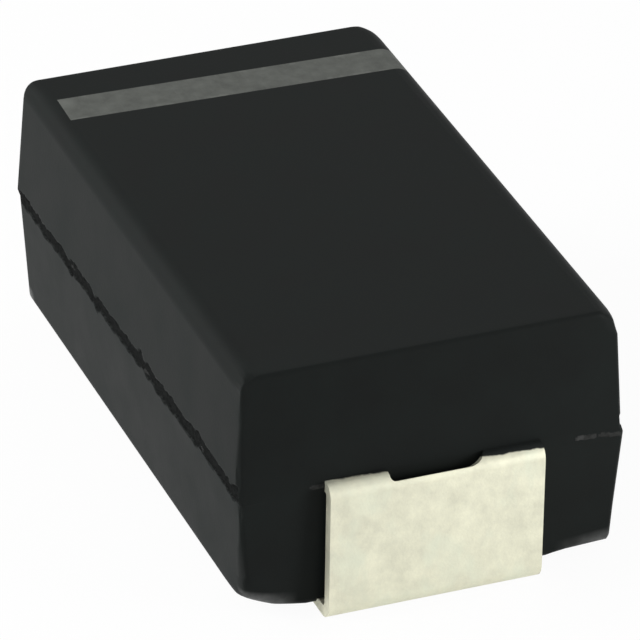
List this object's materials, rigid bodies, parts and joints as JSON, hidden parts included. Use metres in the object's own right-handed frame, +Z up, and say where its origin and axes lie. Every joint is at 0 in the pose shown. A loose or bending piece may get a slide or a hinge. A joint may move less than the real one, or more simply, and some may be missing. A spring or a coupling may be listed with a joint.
{
  "type": "aluminium polymer capacitor",
  "caption": "Moulded chip capacitor for surface mounting: a black box-shaped case with a polarity stripe and a formed terminal at each end that folds under the case.",
  "frame": {"origin": "middle of the seating plane under the case, midway between the two feet", "axes": "+X across the case, +Y along it from the cathode end towards the anode end, which the stripe marks, +Z up from the seating plane"},
  "size_m": [0.0044, 0.0074, 0.003],
  "materials": {
    "moulding": "black epoxy moulding compound, satin, rough along the parting line",
    "stripe_ink": "matt grey print, faintly mottled",
    "tin_plate": "matt tin plate on a copper alloy strip",
    "silver_adhesive": "cured silver-filled adhesive, matt",
    "anode_foil": "etched aluminium foil, matt",
    "band_resin": "amber insulating resin, glossy",
    "cathode_coat": "silver paint over carbon and conductive polymer, matt"
  },
  "bodies": {
    "root": {"case": "moulding", "polarity_stripe": "stripe_ink", "cathode_terminal": "tin_plate", "anode_terminal": "tin_plate", "silver_adhesive": "silver_adhesive", "anode_foil_1": "anode_foil", "anode_foil_2": "anode_foil", "anode_foil_3": "anode_foil", "anode_foil_4": "anode_foil", "anode_foil_5": "anode_foil", "anode_foil_6": "anode_foil", "insulating_band_1": "band_resin", "insulating_band_2": "band_resin", "insulating_band_3": "band_resin", "insulating_band_4": "band_resin", "insulating_band_5": "band_resin", "insulating_band_6": "band_resin", "cathode_coat_1": "cathode_coat", "cathode_coat_2": "cathode_coat", "cathode_coat_3": "cathode_coat", "cathode_coat_4": "cathode_coat", "cathode_coat_5": "cathode_coat", "cathode_coat_6": "cathode_coat"}
  },
  "joints": []
}
